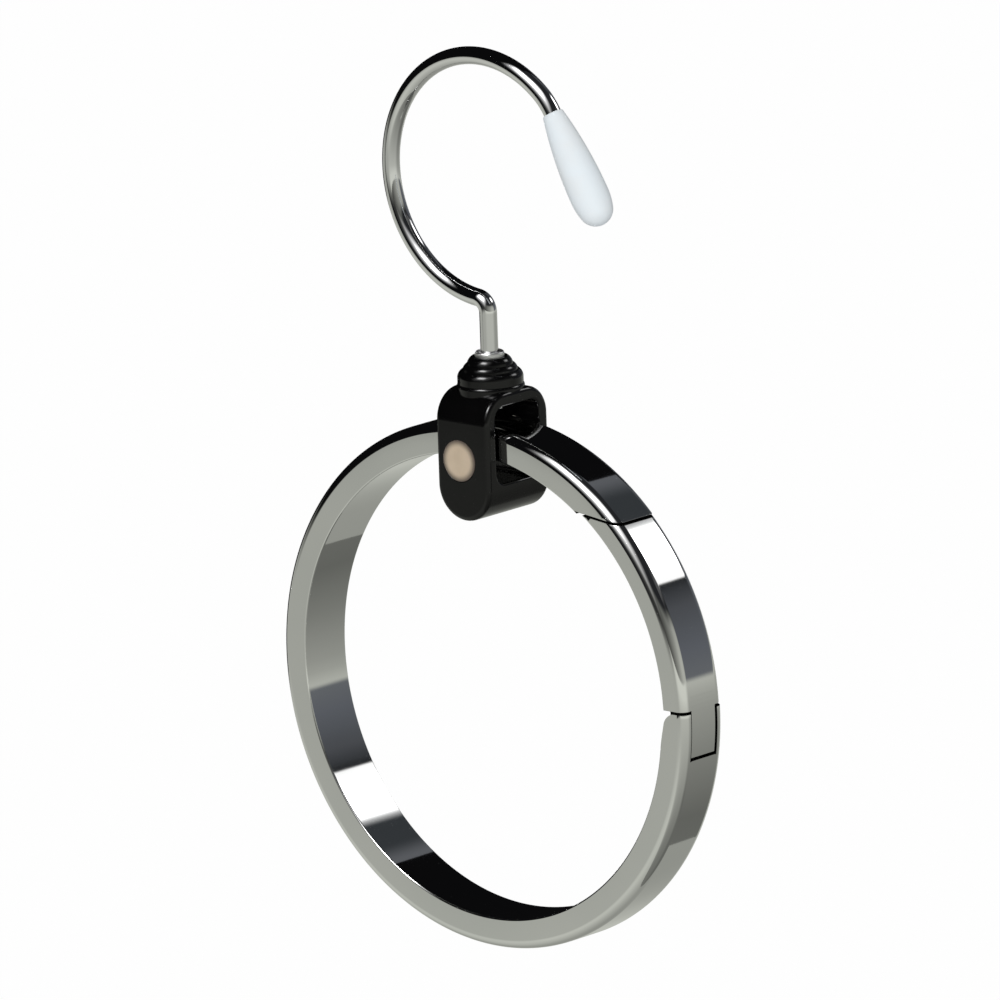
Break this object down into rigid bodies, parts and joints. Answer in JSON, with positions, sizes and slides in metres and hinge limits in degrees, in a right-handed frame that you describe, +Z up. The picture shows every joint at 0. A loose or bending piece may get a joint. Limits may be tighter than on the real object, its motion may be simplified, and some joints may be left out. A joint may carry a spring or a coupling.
{
  "type": "scarf hanger",
  "caption": "Chrome hanger with a swivelling soft-tipped hook, a glossy black yoke and a flat-banded ring with a sprung gate for scarves.",
  "frame": {"origin": "rail seat: the inside top of the hook, on the stem's axis", "axes": "+Z up along the stem; the hook and the ring lie in the XZ plane with the hook's mouth and the gate towards +X; the front, with the round inlay, faces -Y"},
  "size_m": [0.115, 0.0199, 0.1957],
  "materials": {
    "hook_chrome": "polished",
    "band_chrome": "polished",
    "black_gloss": "gloss",
    "white_vinyl": "satin",
    "inlay_beige": "satin",
    "pin_steel": "brushed",
    "spring_steel": "drawn",
    "natural_nylon": "satin"
  },
  "bodies": {
    "hook": {"hook_wire": "hook_chrome", "hook_tip": "white_vinyl", "stem_washer": "pin_steel"},
    "yoke": {"yoke_body": "black_gloss", "swivel_collar": "black_gloss", "stem_bush": "hook_chrome", "front_inlay": "inlay_beige", "swing_pin": "pin_steel", "front_swing_washer": "natural_nylon", "rear_swing_washer": "natural_nylon"},
    "ring": {"ring_body": "band_chrome", "hinge_pin": "pin_steel", "gate_spring": "spring_steel"},
    "gate": {"gate": "band_chrome"},
    "plunger": {"gate_plunger": "pin_steel"}
  },
  "joints": [
    {"name": "hook_swivel", "type": "hinge", "parent": "hook", "child": "yoke", "pos_m": [0, 0, -0.0657], "axis": [0, 0, 1], "continuous": true},
    {"name": "ring_swing", "type": "hinge", "parent": "yoke", "child": "ring", "pos_m": [0, 0, -0.08025], "axis": [0, 1, 0], "range_deg": [-25, 25]},
    {"name": "gate_hinge", "type": "hinge", "parent": "ring", "child": "gate", "pos_m": [0.05525, 0, -0.13785], "axis": [0, -1, 0], "range_deg": [0, 25], "stiffness_Nm_per_rad": 0.03, "springref_deg": -40.11},
    {"name": "plunger_slide", "type": "slide", "parent": "ring", "child": "plunger", "axis": [0, 0, -1], "range_m": [0, 0.0016], "deforming": ["gate_spring"]}
  ],
  "couplings": [
    {"joint": "plunger_slide", "follows": "gate_hinge", "m_per_rad": 0.00353}
  ]
}
